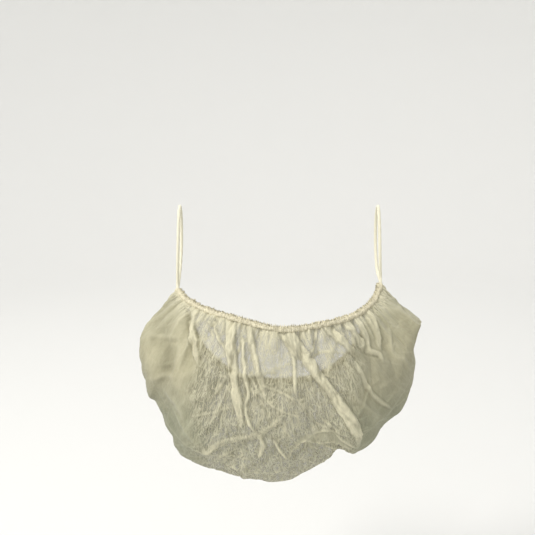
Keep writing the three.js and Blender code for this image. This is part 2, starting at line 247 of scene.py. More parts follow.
# Broad soft bends of the sides: half their width, height (below 0 a hollow), path of (side, level)
softBends = [
    (3.6, -2.4, [(-85, -73), (-80, -80), (-78, -87), (-78, -101), (-81, -114), (-83, -128)]),
    (4.4, 1.7, [(-71, -50), (-69, -66), (-69, -84), (-68, -104), (-70, -122)]),
    (4.6, 1.5, [(-93, -78), (-90, -92), (-91, -110)]),
    (1.5, -2.0, [(-66, -52), (-64, -60), (-63, -74), (-60, -86)]),
    (1.6, 0.9, [(-101, -90), (-84, -84), (-68, -80)]),
    (2.0, 0.9, [(-95, -115), (-78, -107), (-64, -105)]),
    (4.0, 1.6, [(-72, -126), (-58, -118), (-47, -112)]),
    (1.7, 1.1, [(64, -55), (71, -62), (77, -67), (86, -69), (95, -65)]),
    (1.6, 1.1, [(79, -76), (79, -92), (88, -101), (93, -109)]),
    (3.2, 1.4, [(57, -62), (64, -72), (70, -84)]),
    (1.9, 1.2, [(41, -102), (47, -111), (56, -121), (66, -131), (76, -141)]),
    (5.0, -1.8, [(62, -92), (76, -104), (84, -122)]),
    (2.0, 1.0, [(46, -136), (50, -146), (52, -156)]),
    (3.6, 1.3, [(60, -120), (66, -134), (68, -146)]),
    (2.2, 1.2, [(-70, -153), (-60, -134), (-54, -122)]),
    (2.0, 1.1, [(-77, -133), (-65, -143), (-55, -156)]),
    (3.5, 1.3, [(-83, -118), (-72, -128), (-66, -143)]),
]

clothSettings = {
    "gatherCount": 21, "gatherHeight": 1.9, "gatherLength": 55, "gatherUnevenness": 0.7,
    "gatherAtRim": 0.45,  # share of its height that a gather has at the rim
    "gatherRise": 15, "gatherDense": 0.25,
    "pleatLayers": [(47, 0.9, 24), (83, 0.55, 11), (131, 0.35, 6)],  # count, height, length
    "pleatDense": 0.35, "rimDense": 0.75, "rimLength": 2.6, "foldSide": 0.55, "foldRise": 0.8,
    "foldMargin": 3,  # how far past its width a fold still works on the cloth
    "foldBroad": 4,  # folds of this width and more fray and part in full
    "foldFray": 0.45,  # how far the sides of a fold wander
    "frays": [(2.4, 1.0, 0), (0.9, 0.6, 40)],  # length, share, seed
    "foldNarrows": 0.75,  # where along its path a fold narrows, and by how much
    "foldNarrowing": 0.45, "foldFades": 0.86, "foldFaded": 0.3,
    "foldTilt": 0.3,  # one side of a pleat stands higher
    "strandPitch": 1.3,  # the fine pleats that run along a fold
    # strand length and seed, then the painted shade beside each fold: how far out and how wide it lies, and
    # how strong it is between the fine pleats
    "strandLength": 9, "strandSeed": 80, "shadeLineAway": 0.6, "shadeLineWide": 0.7, "shadeBetweenStrands": 0.45,
    # painted shade along hollow bends and painted highlight along raised bends
    "bendShade": 0.45, "bendHighlight": 0.24,
    "flapHigh": 4.2,  # the flap at the lower right, which lies over the bottom of the bag
    "flapReach": 26,
    "flapEdge": [(5, -160), (10, -149), (15, -144), (20, -147), (30, -149), (41, -150), (51, -157)],
    "flapMiddle": [(16, -143), (24, -142), (34, -142), (44, -148)],
    "flapHalf": 5,
    "flapEdgeHighlight": (0.75, 1.2, 1.6),  # strength, place and width of the painted highlight along its edge
    "flapShade": (1.3, 1.1),  # place and width of the shade below it
    "flapDense": 0.4, "flapLayer": 0.7,
    "creaseCount": 300, "creaseLength": (9, 60), "creaseWidth": (1.3, 7),
    "creaseHeight": (0.3, 1.6), "creaseSpread": 0.75,
    "creaseUpward": 0.7,  # share of the creases that stand out; the rest are hollows
    "creaseHollow": -0.7, "creaseBend": 0.012, "creaseLine": 0.6, "creaseLayersAndHighlight": 0.42, "creaseCalm": 9,
    "facetSize": 24, "facetHeight": 2.4, "facetMiddle": 0.35, "facetCalm": 22,
    "swellSize": 38, "swellHeight": 4.5, "pinchLength": 6, "endShare": 0.02,
    "lobeMiddle": -4,  # halfway between the two sides, where the cloth lies double
    "lobeStarts": 34, "lobeFull": 74,  # how far from there it begins to, and does in full
    "lobeCalm": 0.7, "lobeCreaseCalm": 0.75, "lobeRim": 10,
}


def nearPath(side, level, path):
    # distance to the path, which side of it, and how far along it, for each place
    line = evenLine([(x, 0, z) for x, z in path], False, np.linspace(0, 1, 24))[:, [0, 2]]
    best = np.full(side.shape, np.inf)
    hand = np.zeros(side.shape)
    along = np.zeros(side.shape)
    for index, (a, b) in enumerate(zip(line[:-1], line[1:])):
        run = b - a
        length = run @ run
        share = np.clip(((side - a[0]) * run[0] + (level - a[1]) * run[1]) / length, 0, 1)
        offX, offZ = side - a[0] - share * run[0], level - a[1] - share * run[1]
        far = np.hypot(offX, offZ)
        closer = far < best
        best = np.where(closer, far, best)
        hand = np.where(closer, np.sign(run[0] * offZ - run[1] * offX), hand)
        along = np.where(closer, (index + share) / (len(line) - 1), along)
    return best, hand, along


def grain(first, second, seed):
    # each seed reads another part of the noise
    return np.array([noise.noise((a, b, seed * 7.3)) for a, b in zip(first, second)])


def bellCurve(distance, width):
    return np.exp(-(distance / width) ** 2)


def foldShapes(places, onFront):
    look = clothSettings
    side, level = places[..., 0], places[..., 2]
    height = np.zeros(side.shape)
    dense = np.zeros(side.shape)
    paintedShade = np.zeros(side.shape)  # painted shade: the narrow dark line where a fold turns under, between the fine pleats of a fold, along hollow bends and below the flap
    soft = look["foldSide"]
    for number, (wide, high, thick, path) in enumerate(frontFolds):
        far, hand, along = nearPath(side, level, path)
        spot = (far < wide + look["foldMargin"]) & (onFront[None, :] > 0)
        far, hand, along = far[spot], hand[spot], along[spot]
        length = sum(math.dist(a, b) for a, b in zip(path[:-1], path[1:]))
        broad = min(1, wide / look["foldBroad"])
        fray = sum(share * grain(along * length / pitch, hand * 3, number + seed)
                   for pitch, share, seed in look["frays"])
        far = np.maximum(far + look["foldFray"] * fray * broad ** 2, 0)
        wobble = 1 + 0.08 * np.sin(9 * along + wide * 3) + 0.06 * np.sin(23 * along + high * 5)
        half = wide / 2 * wobble * (1 - look["foldNarrowing"] * softStep(look["foldNarrows"], 1, along))
        fade = 1 - softStep(look["foldFades"], 1.0, along)
        body = 1 - softStep(half - soft, half + soft, far)
        body = body * (look["foldFaded"] + (1 - look["foldFaded"]) * fade)
        tilt = 1 + look["foldTilt"] * hand * np.clip(far / half, 0, 1)
        strands = grain(hand * far / look["strandPitch"], along * length / look["strandLength"],
                        number + look["strandSeed"])
        strands = np.clip(0.9 - 0.4 * broad + 0.9 * broad * strands, 0, 1)
        rise = body * high * tilt * look["foldRise"] * (0.7 + 0.45 * strands)
        height[spot] = np.maximum(height[spot], rise)
        dense[spot] = np.maximum(dense[spot], body * thick * (0.55 + 0.6 * strands))
        # painted shade just outside each fold where it turns under, and between the fine pleats inside broad
        # folds
        shade = bellCurve(far - half - look["shadeLineAway"], look["shadeLineWide"]) * thick * (0.4 + 0.6 * fade)
        between = body * look["shadeBetweenStrands"] * (1 - strands) * min(1, wide / 5)
        paintedShade[spot] = np.maximum(paintedShade[spot], np.maximum(shade, between))
    for wide, high, path in softBends:
        far, hand, along = nearPath(side, level, path)
        bell = np.sin(np.pi * np.clip(along, 0.03, 0.97)) ** 0.6 * bellCurve(far, wide)
        height = height + high * bell
        # hollows get painted shade, raised bends a painted highlight
        if high < 0:
            paintedShade = np.maximum(paintedShade, look["bendShade"] * bell)
        else:
            dense = np.maximum(dense, look["bendHighlight"] * bell)
    far, hand, along = nearPath(side, level, look["flapEdge"])
    above = far * hand
    ends = np.sin(np.pi * np.clip(along, 0.02, 0.98)) ** 0.5
    flap = softStep(-0.8, 0.9, above) * np.exp(-np.maximum(above, 0) / look["flapReach"]) * ends
    height = height + look["flapHigh"] * flap
    # a painted highlight along the flap's edge and painted shade just below it
    strength, lineAt, lineWide = look["flapEdgeHighlight"]
    dense = np.maximum(dense, strength * ends * bellCurve(above - lineAt, lineWide))
    shadeAt, shadeWide = look["flapShade"]
    paintedShade = np.maximum(paintedShade, ends * bellCurve(above + shadeAt, shadeWide))
    far = nearPath(side, level, look["flapMiddle"])[0]
    double = 1 - softStep(look["flapHalf"] * 0.5, look["flapHalf"] * 1.4, far)
    dense = np.maximum(dense, look["flapDense"] * double)
    return [values * onFront[None, :] for values in (height, dense, paintedShade, double)]


def gatherShapes(across, fromRim):
    look = clothSettings
    turn = 2 * np.pi * across
    wander = look["gatherUnevenness"] * (np.sin(3 * turn) + np.sin(7 * turn + 1))
    ends = np.sin(turn / 2)[:, None]
    wave = np.cos(look["gatherCount"] * turn + wander)[:, None]
    fade = np.clip(1 - fromRim / look["gatherLength"], 0, 1) ** 2
    growing = np.minimum(1, look["gatherAtRim"] + fromRim / look["gatherRise"])
    height = look["gatherHeight"] * wave * fade * ends * growing
    dense = look["gatherDense"] * np.maximum(wave, 0) * fade
    for number, (count, high, reach) in enumerate(look["pleatLayers"]):
        # each layer drifts and swells along the rim in its own way
        phase = count * turn + 1.7 * np.sin((5 + 2 * number) * turn + number) + 2.2 * wander
        sharp = (1 - np.abs(np.sin(phase / 2)) * 2)[:, None]  # sharp crests, round valleys
        strength = 0.65 + 0.35 * np.sin(11 * turn + 2.1 * number)[:, None]
        near = np.exp(-fromRim / reach) * strength * ends
        height = height + high * sharp * near
        dense = dense + look["pleatDense"] * np.maximum(sharp, 0) * near
    dense = dense + look["rimDense"] * np.exp(-fromRim / look["rimLength"])
    return height, dense


def creaseShapes(runAcross, runDown, fromRim, random):
    look = clothSettings
    height = np.zeros(runAcross.shape)
    dense = np.zeros(runAcross.shape)
    widest, deepest = runAcross.max(), runDown.max()
    for _ in range(look["creaseCount"]):
        middle = random.random(2) * (widest, deepest)
        lean = look["creaseSpread"] * (random.random() - 0.5) * (1 + random.random())
        angle = math.pi * (0.5 + lean)
        length = random.uniform(*look["creaseLength"])
        width = random.uniform(*look["creaseWidth"])
        high = random.uniform(*look["creaseHeight"])
        high *= 1 if random.random() < look["creaseUpward"] else look["creaseHollow"]
        bend = random.uniform(-look["creaseBend"], look["creaseBend"])
        offA, offD = runAcross - middle[0], runDown - middle[1]
        along = offA * math.cos(angle) + offD * math.sin(angle)
        off = offD * math.cos(angle) - offA * math.sin(angle) + bend * along ** 2
        inside = (np.abs(along) < length) & (np.abs(off) < width)
        tent = np.where(inside, (1 - np.abs(off) / width) * (1 - (along / length) ** 2) ** 2, 0)
        height += high * tent
        # a pale line along each crease: partly the cloth lying doubled there, partly a painted highlight
        line = np.where(tent > 0, bellCurve(off, look["creaseLine"]), 0)
        dense = np.maximum(dense, look["creaseLayersAndHighlight"] * abs(high) * line)
    calm = softStep(0, look["creaseCalm"], fromRim)
    return height * calm, dense * calm


def facetShapes(places):
    look = clothSettings
    size, high, swell, tall = (look[key] for key in ("facetSize", "facetHeight", "swellSize", "swellHeight"))
    height = np.zeros(places.shape[:2])
    columns, rows = height.shape
    for column in range(columns):
        for row in range(rows):
            x, y, z = places[column, row]
            near = noise.voronoi((x / size, y / size, z / size), distance_metric="DISTANCE")[0]
            facet = high * (near[1] - near[0] - look["facetMiddle"])
            height[column, row] = facet + tall * noise.noise((x / swell + 3, y / swell, z / swell + 5))
    return height


def gridMesh(name, places, attributes, runAcross, runDown):
    # one open sheet, its first and last column drawn to a point each
    columns, rows = places.shape[:2]
    points = [places[0, 0], *places[1:-1].reshape(-1, 3), places[-1, 0]]
    last = len(points) - 1

    def corner(column, row):
        return 0 if column == 0 else last if column == columns - 1 else 1 + (column - 1) * rows + row

    faces, uvs = [], []
    for column in range(columns - 1):
        for row in range(rows - 1):
            spots = [(column, row), (column, row + 1), (column + 1, row + 1), (column + 1, row)]
            ring, where = [], []
            for spot in spots:
                index = corner(*spot)
                if index not in ring:
                    ring.append(index)
                    where.append((runAcross[spot] * mm, runDown[spot] * mm))
            faces.append(ring)
            uvs.extend(where)
    flat = {key: [values[0, 0], *values[1:-1].ravel(), values[-1, 0]] for key, values in attributes.items()}
    piece = meshPiece(name, points, faces, uvs)
    addAttributes(piece, flat)
    return piece


crumpling = {
    "every": 2,  # the simulated grid takes every second column and row
    "scale": 10,  # simulated at ten times the size
    "growth": 0.09, "frames": 24, "quality": 6, "mass": 0.1, "tension": 25, "shear": 12, "bending": 0.6,
    "damping": 3, "gravity": 0.0, "mostMove": 5.0,
    "evened": 14,  # how widely the broad moves are found, which are taken out again
}


def evened(values, times):
    padded = values
    for _ in range(times):
        padded = np.pad(padded, ((1, 1), (1, 1), (0, 0)), mode="edge")
        padded = (padded[:-2, 1:-1] + padded[2:, 1:-1] + padded[1:-1, :-2] + padded[1:-1, 2:]
                  + 2 * padded[1:-1, 1:-1]) / 6
    return padded


def crumpled(places, runAcross, runDown):
    # the cloth is a little larger than the bag it fills, so it buckles into small soft creases
    every, scale = crumpling["every"], crumpling["scale"]
    columns = np.arange(0, places.shape[0], every)
    rows = np.arange(0, places.shape[1], every)
    coarse = places[columns][:, rows]
    piece = gridMesh("crumpledCloth", coarse * scale, {}, runAcross[columns][:, rows],
                     runDown[columns][:, rows])
    rowCount = len(rows)
    held = [0, len(piece.data.vertices) - 1]
    for column in range(1, len(columns) - 1):
        held += [1 + (column - 1) * rowCount, column * rowCount]
    group = piece.vertex_groups.new(name="held")
    group.add(held, 1.0, "REPLACE")
    cloth = piece.modifiers.new("crumple", "CLOTH")
    given = cloth.settings
    given.quality = crumpling["quality"]
    given.mass = crumpling["mass"]
    given.tension_stiffness = given.compression_stiffness = crumpling["tension"]
    given.shear_stiffness = crumpling["shear"]
    given.bending_stiffness = crumpling["bending"]
    given.air_damping = crumpling["damping"]
    given.shrink_min = -crumpling["growth"]
    given.vertex_group_mass = "held"
    given.effector_weights.gravity = crumpling["gravity"]
    cloth.collision_settings.use_collision = False
    cloth.point_cache.frame_end = crumpling["frames"]
    scene = bpy.context.scene
    for frameNumber in range(1, crumpling["frames"] + 1):
        scene.frame_set(frameNumber)
    settled = piece.evaluated_get(bpy.context.evaluated_depsgraph_get()).to_mesh()
    points = np.zeros(len(settled.vertices) * 3)
    settled.vertices.foreach_get("co", points)
    points = points.reshape(-1, 3) / mm / scale
    moved = np.zeros(coarse.shape)
    moved[0], moved[-1] = points[0] - coarse[0, 0], points[-1] - coarse[-1, 0]
    moved[1:-1] = points[1:-1].reshape(len(columns) - 2, rowCount, 3) - coarse[1:-1]
    bpy.data.objects.remove(piece)
    scene.frame_set(1)
    moved = moved - evened(moved, crumpling["evened"])
    far = np.linalg.norm(moved, axis=2, keepdims=True)
    print("crumpled: moves of", round(float(np.median(far)), 2), "mm, at most",
          round(float(far.max()), 2), "mm")
    most = crumpling["mostMove"]
    moved = moved * (most * np.tanh(far / most) / np.maximum(far, tiny))
    finer = np.stack([[np.interp(np.arange(places.shape[1]), rows, line[:, axis]) for line in moved]
                      for axis in range(3)], axis=-1)
    return np.stack([[np.interp(np.arange(places.shape[0]), columns, finer[:, row, axis])
                      for row in range(places.shape[1])] for axis in range(3)], axis=-1).transpose(1, 0, 2)


def makePouch():
    look = clothSettings
    random = np.random.default_rng(randomSeed)
    places, across, fromRim, onFront = bagGrid()
    stepsDown = np.linalg.norm(np.diff(places, axis=1), axis=2)
    runDown = np.concatenate([np.zeros((len(across), 1)), np.cumsum(stepsDown, axis=1)], axis=1)
    turnRow = bag["frontRows"]
    runAcross = np.repeat(runAlong(places[:, turnRow])[:, None], places.shape[1], axis=1)
    folds, foldLayersAndHighlights, paintedShade, double = foldShapes(places, onFront)
    gathers, gatherDense = gatherShapes(across, fromRim)
    creases, creaseLayersAndHighlight = creaseShapes(runAcross, runDown, fromRim, random)
    facets = facetShapes(places) * softStep(0, look["facetCalm"], fromRim)
    pinch = softStep(0, look["pinchLength"], fromRim)
    ends = softStep(0, look["endShare"], across) * softStep(0, look["endShare"], 1 - across)
    sideways = np.abs(places[..., 0] - look["lobeMiddle"])
    lobes = softStep(look["lobeStarts"], look["lobeFull"], sideways)
    lift = folds * pinch + gathers + creases * (1 - look["lobeCalm"] * lobes) + facets
    shaped = places + gridNormals(places) * (lift * ends[:, None])[..., None]
    shaped = shaped + crumpled(shaped, runAcross, runDown)
    creaseLayersAndHighlight = creaseLayersAndHighlight * (1 - look["lobeCreaseCalm"] * lobes)
    dense = np.clip(np.maximum(foldLayersAndHighlights, creaseLayersAndHighlight) + gatherDense, 0, 1)
    layered = np.maximum(lobes * softStep(0, look["lobeRim"], fromRim), look["flapLayer"] * double)
    for side, level, reach in bag["spikes"]:
        turnLine = shaped[:, turnRow]
        tip = turnLine[np.argmin(np.hypot(turnLine[:, 0] - side, turnLine[:, 2] - level))]
        outward = unit(tip - turnLine.mean(axis=0))
        near = bellCurve(np.linalg.norm(shaped - tip, axis=2), bag["spikeWide"])
        shaped = shaped + outward * reach * near[..., None]
    shades = {"dense": dense, "paintedShade": paintedShade, "layered": layered}
    piece = gridMesh("pouchCloth", shaped, shades, runAcross, runDown)
    print("pouch:", len(piece.data.polygons), "faces")
    return piece


# The gathered edge

edge = {
    "radius": 1.6, "flatness": 0.1,
    "bunches": [(0.1, 23, 1), (0.08, 57, 0)],  # share of the radius, count, shift
    "puckerPitch": 1.3, "puckerHigh": 0.7, "puckerShift": 0.38, "puckerPeaks": (0.45, 1.0),
    "puckerValleys": (0.0, 0.3), "puckerCrest": 0.55, "frillHigh": 2.2, "frillWave": 0.9,
    "frillNarrow": 9,  # the higher this is, the narrower the frill on the upper side
    "mouthSteps": 6000, "steps": 3600, "sides": 16,
}


def puckerLine(run, length, random):
    # peaks and valleys at uneven spacing once round the edge, from 0 in a valley to 1 on a peak
    count = int(length / edge["puckerPitch"]) * 2
    shift = edge["puckerShift"]
    places = (np.arange(count) + random.uniform(-shift, shift, count)) * length / count
    peaks = random.uniform(*edge["puckerPeaks"], count)
    valleys = random.uniform(*edge["puckerValleys"], count)
    return np.interp(run, places, np.where(np.arange(count) % 2, peaks, valleys), period=length)


def makeEdge():
    random = np.random.default_rng(randomSeed + 1)
    steps, sides = edge["steps"], edge["sides"]
    turns = np.arange(steps) / steps
    mouthTurns = np.linspace(0, 1, edge["mouthSteps"] + 1)
    dense = mouthAt(mouthTurns[:-1])
    run = runAlong(np.vstack([dense, dense[:1]]))
    length = run[-1]
    even = np.interp(turns * length, run, mouthTurns)
    centre, along = mouthAt(even), mouthWay(even)
    frontShare = mouth["frontSpans"] / len(mouth["sections"])
    across = np.where(even < frontShare, even / frontShare, (1 - even) / (1 - frontShare))
    swing = np.where(even < frontShare, bag["frontSwing"], bag["rearSwing"])
    out = -leavingWay(even, across, swing)
    beside = np.cross(along, out)
    face, under, frill, lean = (puckerLine(turns * length, length, random) for _ in range(4))
    bunch = 1 + sum(share * np.sin(2 * np.pi * count * turns + shift)
                    for share, count, shift in edge["bunches"])
    rings, crests, rims = [], [], []
    for side in range(sides):
        angle = 2 * math.pi * side / sides
        upper = max(0, math.cos(angle))
        top = upper ** edge["frillNarrow"]
        share = 0.5 + 0.5 * math.sin(angle)
        pucker = face * share + under * (1 - share)
        radius = edge["radius"] * bunch * (1 + edge["flatness"] * math.cos(2 * angle))
        radius = radius + edge["puckerHigh"] * (pucker - 0.5)
        rise = edge["frillHigh"] * top * frill * (0.6 + 0.4 * pucker)
        wave = edge["frillWave"] * top * (lean - 0.5) * 2
        rings.append(centre + out * ((radius + rise) * math.cos(angle))[:, None]
                     + beside * (radius * math.sin(angle) + wave)[:, None])
        rims.append(np.full(steps, upper))
        # pucker crests come out paler and more solid and their valleys darker: painted light and shade on the
        # crimps
        crest = edge["puckerCrest"] + (1 - edge["puckerCrest"]) * pucker
        crests.append(np.clip(crest * (1 - top) + frill * top, 0, 1))
    points = np.stack(rings, axis=1).reshape(-1, 3)
    faces, uvs = [], []
    girth = 2 * math.pi * edge["radius"] * mm / sides
    pace = length * mm / steps
    for step in range(steps):
        here, there = step * sides, (step + 1) % steps * sides
        for side in range(sides):
            after = (side + 1) % sides
            faces.append((here + side, there + side, there + after, here + after))
            uvs.extend([(step * pace, side * girth), ((step + 1) * pace, side * girth),
                        ((step + 1) * pace, (side + 1) * girth), (step * pace, (side + 1) * girth)])
    piece = meshPiece("gatheredEdge", points, faces, uvs)
    shades = (("crest", crests), ("rim", rims))
    addAttributes(piece, {key: np.stack(values, axis=1).ravel() for key, values in shades})
    print("edge:", len(faces), "faces")
    return piece


# The ear loops, in their worn, taut form

earLoop = {
    "height": 61, "width": 24, "lean": 2, "thickness": 2.4,
    "footDepth": 0.5,  # the feet start inside the edge
    "footGap": 0.3, "footHigh": 1.9, "ribPitch": 1.15, "ribHigh": 0.1, "strands": 8, "strandHigh": 0.09,
    "strandTwist": 2.2, "steps": 620, "sides": 20,
    # from the front foot over the top to the rear foot: back and rise as shares of width and height
    "bends": [(0.06, 0.33), (0.16, 0.68), (0.3, 0.89), (0.5, 1.0),
              (0.8, 0.91), (1.0, 0.68), (0.95, 0.4), (0.6, 0.17)],
}


def makeEarLoop(name, hand):
    thick, steps, sides = earLoop["thickness"], earLoop["steps"], earLoop["sides"]
    endTurn = 0.0 if hand < 0 else mouth["frontSpans"] / len(mouth["sections"])
    foot, along = mouthAt([endTurn])[0], mouthWay([endTurn])[0]
    footWay = np.array([0, 0, 1.0]) - along[2] * along
    footWay /= np.linalg.norm(footWay)
    footStart = foot + footWay * earLoop["footDepth"]
    spread = -hand * along * (thick / 2 + earLoop["footGap"])
    bends = [(hand * (mouth["width"] / 2 - rise * earLoop["lean"]),
              -mouth["setForward"] + back * earLoop["width"],
              mouth["footLevel"] + rise * (earLoop["height"] + thick / 2)) for back, rise in earLoop["bends"]]
    upward = footWay * (earLoop["footHigh"] + thick)
    points = [footStart + spread, footStart + spread + upward, *bends,
              footStart - spread + upward, footStart - spread]
    line = evenLine(points, False, np.linspace(0, 1, steps + 1))
    run = runAlong(line)
    ways = unit(np.gradient(line, axis=0))
    angles = 2 * math.pi * np.arange(sides) / sides
    aside = np.array([1.0, 0, 0])
    rings = []
    for step in range(steps + 1):
        aside = aside - ways[step] * (aside @ ways[step])
        aside /= np.linalg.norm(aside)
        other = np.cross(ways[step], aside)
        rib = np.cos(2 * math.pi * run[step] / earLoop["ribPitch"])
        strands = np.cos(earLoop["strands"] * angles / 2 + earLoop["strandTwist"] * run[step] / thick)
        radius = thick / 2 + earLoop["ribHigh"] * rib * 0.5 + earLoop["strandHigh"] * strands
        rings.append(line[step] + np.outer(radius * np.cos(angles), aside)
                     + np.outer(radius * np.sin(angles), other))
    points = [*np.concatenate(rings), line[0], line[-1]]
    faces, uvs = [], []
    girth = math.pi * thick * mm
    for step in range(steps):
        for side in range(sides):
            after = (side + 1) % sides
            faces.append((step * sides + side, step * sides + after,
                          (step + 1) * sides + after, (step + 1) * sides + side))
            low, high = side / sides * girth, (side + 1) / sides * girth
            uvs.extend([(run[step] * mm, low), (run[step] * mm, high),
                        (run[step + 1] * mm, high), (run[step + 1] * mm, low)])
    for end, first in ((len(points) - 2, 0), (len(points) - 1, steps * sides)):
        for side in range(sides):
            pair = [first + side, first + (side + 1) % sides]
            faces.append((end, *(pair[::-1] if first == 0 else pair)))
            uvs.extend([(0, 0)] * 3)
    piece = meshPiece(name, points, faces, uvs)
    print(name + ":", len(faces), "faces")
    return piece


# Finishes. A Signal is a socket that can be reckoned with, and a Finish builds one material.

class Signal:
    def __init__(self, finish, socket):
        self.finish, self.socket = finish, socket

    def reckon(self, operation, first, second):
        return self.finish.node("ShaderNodeMath", {"operation": operation}, {0: first, 1: second})

    def __add__(self, other):
        return self.reckon("ADD", self, other)

    __radd__ = __add__

    def __sub__(self, other):
        return self.reckon("SUBTRACT", self, other)

    def __rsub__(self, other):
        return self.reckon("SUBTRACT", other, self)

    def __mul__(self, other):
        return self.reckon("MULTIPLY", self, other)

    __rmul__ = __mul__

    def __truediv__(self, other):
        return self.reckon("DIVIDE", self, other)

    def __rtruediv__(self, other):
        return self.reckon("DIVIDE", other, self)

    def __abs__(self):
        return self.reckon("ABSOLUTE", self, 0)

    def above(self, other):
        return self.reckon("MAXIMUM", self, other)

    def held(self, low, high):
        return self.finish.node("ShaderNodeClamp", {}, {"Value": self, "Min": low, "Max": high})

    def ramp(self, low, steepness, most=1):
        return ((self - low) * steepness).held(0, most)


class Finish:
    def __init__(self, name):
        self.material = bpy.data.materials.new(name)
        self.material.use_nodes = True
        self.tree = self.material.node_tree
        self.tree.nodes.clear()

    def node(self, kind, settings, sockets, out=0):
        made = self.tree.nodes.new(kind)
        for key, value in settings.items():
            setattr(made, key, value)
        for key, value in sockets.items():
            if isinstance(value, Signal):
                self.tree.links.new(value.socket, made.inputs[key])
            else:
                made.inputs[key].default_value = value
        return Signal(self, made.outputs[out]) if len(made.outputs) else made

    def places(self):
        # the place on the cloth and the place in space
        return (self.node("ShaderNodeUVMap", {"uv_map": "clothRun"}, {}),
                self.node("ShaderNodeTexCoord", {}, {}, out="Object"))

    def attribute(self, name):
        return self.node("ShaderNodeAttribute", {"attribute_name": name}, {}, out="Fac")

    def mixColour(self, share, first, second):
        return self.node("ShaderNodeMix", {"data_type": "RGBA"}, {0: share, 6: first, 7: second}, out=2)

    def noise(self, where, scale, detail, rough, distortion=0.0, flat=False):
        return self.node("ShaderNodeTexNoise", {"noise_dimensions": "2D" if flat else "3D"},
                         {"Vector": where, "Scale": scale, "Detail": detail, "Roughness": rough,
                          "Distortion": distortion})

    def bump(self, strength, depth, height, **more):
        return self.node("ShaderNodeBump", {}, {"Strength": strength, "Distance": depth,
                                                "Height": height, **more})

    def sheer(self, look, tint, rough, normal, stops):
        # cloth that sends some light back, lets some shine through, and has gaps between its fibres
        front = self.node("ShaderNodeBsdfPrincipled", {}, {
            "Base Color": tint, "Roughness": rough, "Normal": normal,
            "Specular IOR Level": 0.25, "Sheen Weight": 0.15, "Sheen Roughness": 0.5})
        behind = self.node("ShaderNodeBsdfTranslucent", {}, {"Color": look["shine"], "Normal": normal})
        cloth = self.node("ShaderNodeMixShader", {}, {0: look["through"], 1: front, 2: behind})
        clear = self.node("ShaderNodeBsdfTransparent", {}, {})
        shown = self.node("ShaderNodeMixShader", {}, {0: stops, 1: clear, 2: cloth})
        self.node("ShaderNodeOutputMaterial", {}, {"Surface": shown})
        return self.material

    def fibres(self, run, angle, spacing, stretch, thick, shift):
        # thin curling lines that run mostly one way: where a stretched noise crosses its middle
        turned = self.node("ShaderNodeMapping", {},
                           {"Vector": run, "Rotation": (0, 0, angle), "Location": (shift, shift * 0.7, 0),
                            "Scale": (1 / spacing, 1 / (spacing * stretch), 1)})
        wave = self.noise(turned, 1.0, 1.0, 0.5, 0.5, flat=True)
        return (1 - abs(wave - 0.5) / thick).held(0, 1)


def fibreWeb(finish, run, layers):
    web = None
    for number, (angle, spacing, stretch, thick, strength) in enumerate(layers):
        line = finish.fibres(run, math.radians(angle), spacing, stretch, thick, 3.7 * number + 1) * strength
        web = line if web is None else web.above(line)
    return web


clothFinish = {
    "pale": (0.43, 0.40, 0.262, 1), "fibre": (0.60, 0.57, 0.42, 1), "fold": (0.76, 0.72, 0.53, 1),
    # deep is the dark of random clouding and of the painted shade in fibre gaps, beside folds, in hollows and
    # below the flap
    "deep": (0.145, 0.14, 0.095, 1), "grey": (0.335, 0.325, 0.235, 1),
    "low": (0.215, 0.232, 0.165, 1),  # painted shade: towards the bottom the cloth is painted greyer and darker, as it lies in shade there
    "lowShadeRange": (-0.112, -0.138), "lowShadeRagged": 0.03, "lowShadeShare": 0.8,
    "shine": (0.46, 0.43, 0.31, 1),  # the light that comes through
    # scale, detail and roughness of the noises, and how far the last is twisted
    "cloud": (95, 3, 0.6), "blotch": (24, 2, 0.5), "crumple": (120, 4, 0.6, 0.6), "layerRagged": 0.9,
    "layerRamp": (0.22, 1.8),  # from, steepness
    "layerCalm": 0.88,  # doubled cloth shows its fibres less
    "single": 0.54,  # how much of the light one layer stops between its fibres
    "webStops": 0.42, "denseStops": 0.6, "layerStops": 0.36, "cloudStops": 0.3,
    "stopsRange": (0.08, 0.97), "blotchRamp": (0.35, 2.2), "cloudRamp": (0.42, 0.8), "gapShade": 0.6,
    "fibreShare": 0.75, "foldFibres": 0.3, "tuckShade": 0.5,
    "through": 0.22,  # share of light that shines through rather than back
    "rough": 0.88, "roughRange": 0.1, "fibreStrength": 0.5, "fibreDepth": 0.00012,
    "crumpleStrength": 0.6, "crumpleDepth": 0.0005,
    # angle in degrees, spacing in metres, stretch, line thickness, strength
    "layers": [(4, 0.0036, 3.4, 0.045, 0.75), (62, 0.0034, 3.2, 0.04, 1.0), (-58, 0.0034, 3.2, 0.04, 1.0),
               (84, 0.0048, 3.2, 0.034, 0.85), (34, 0.0026, 4.0, 0.045, 0.6)],
}


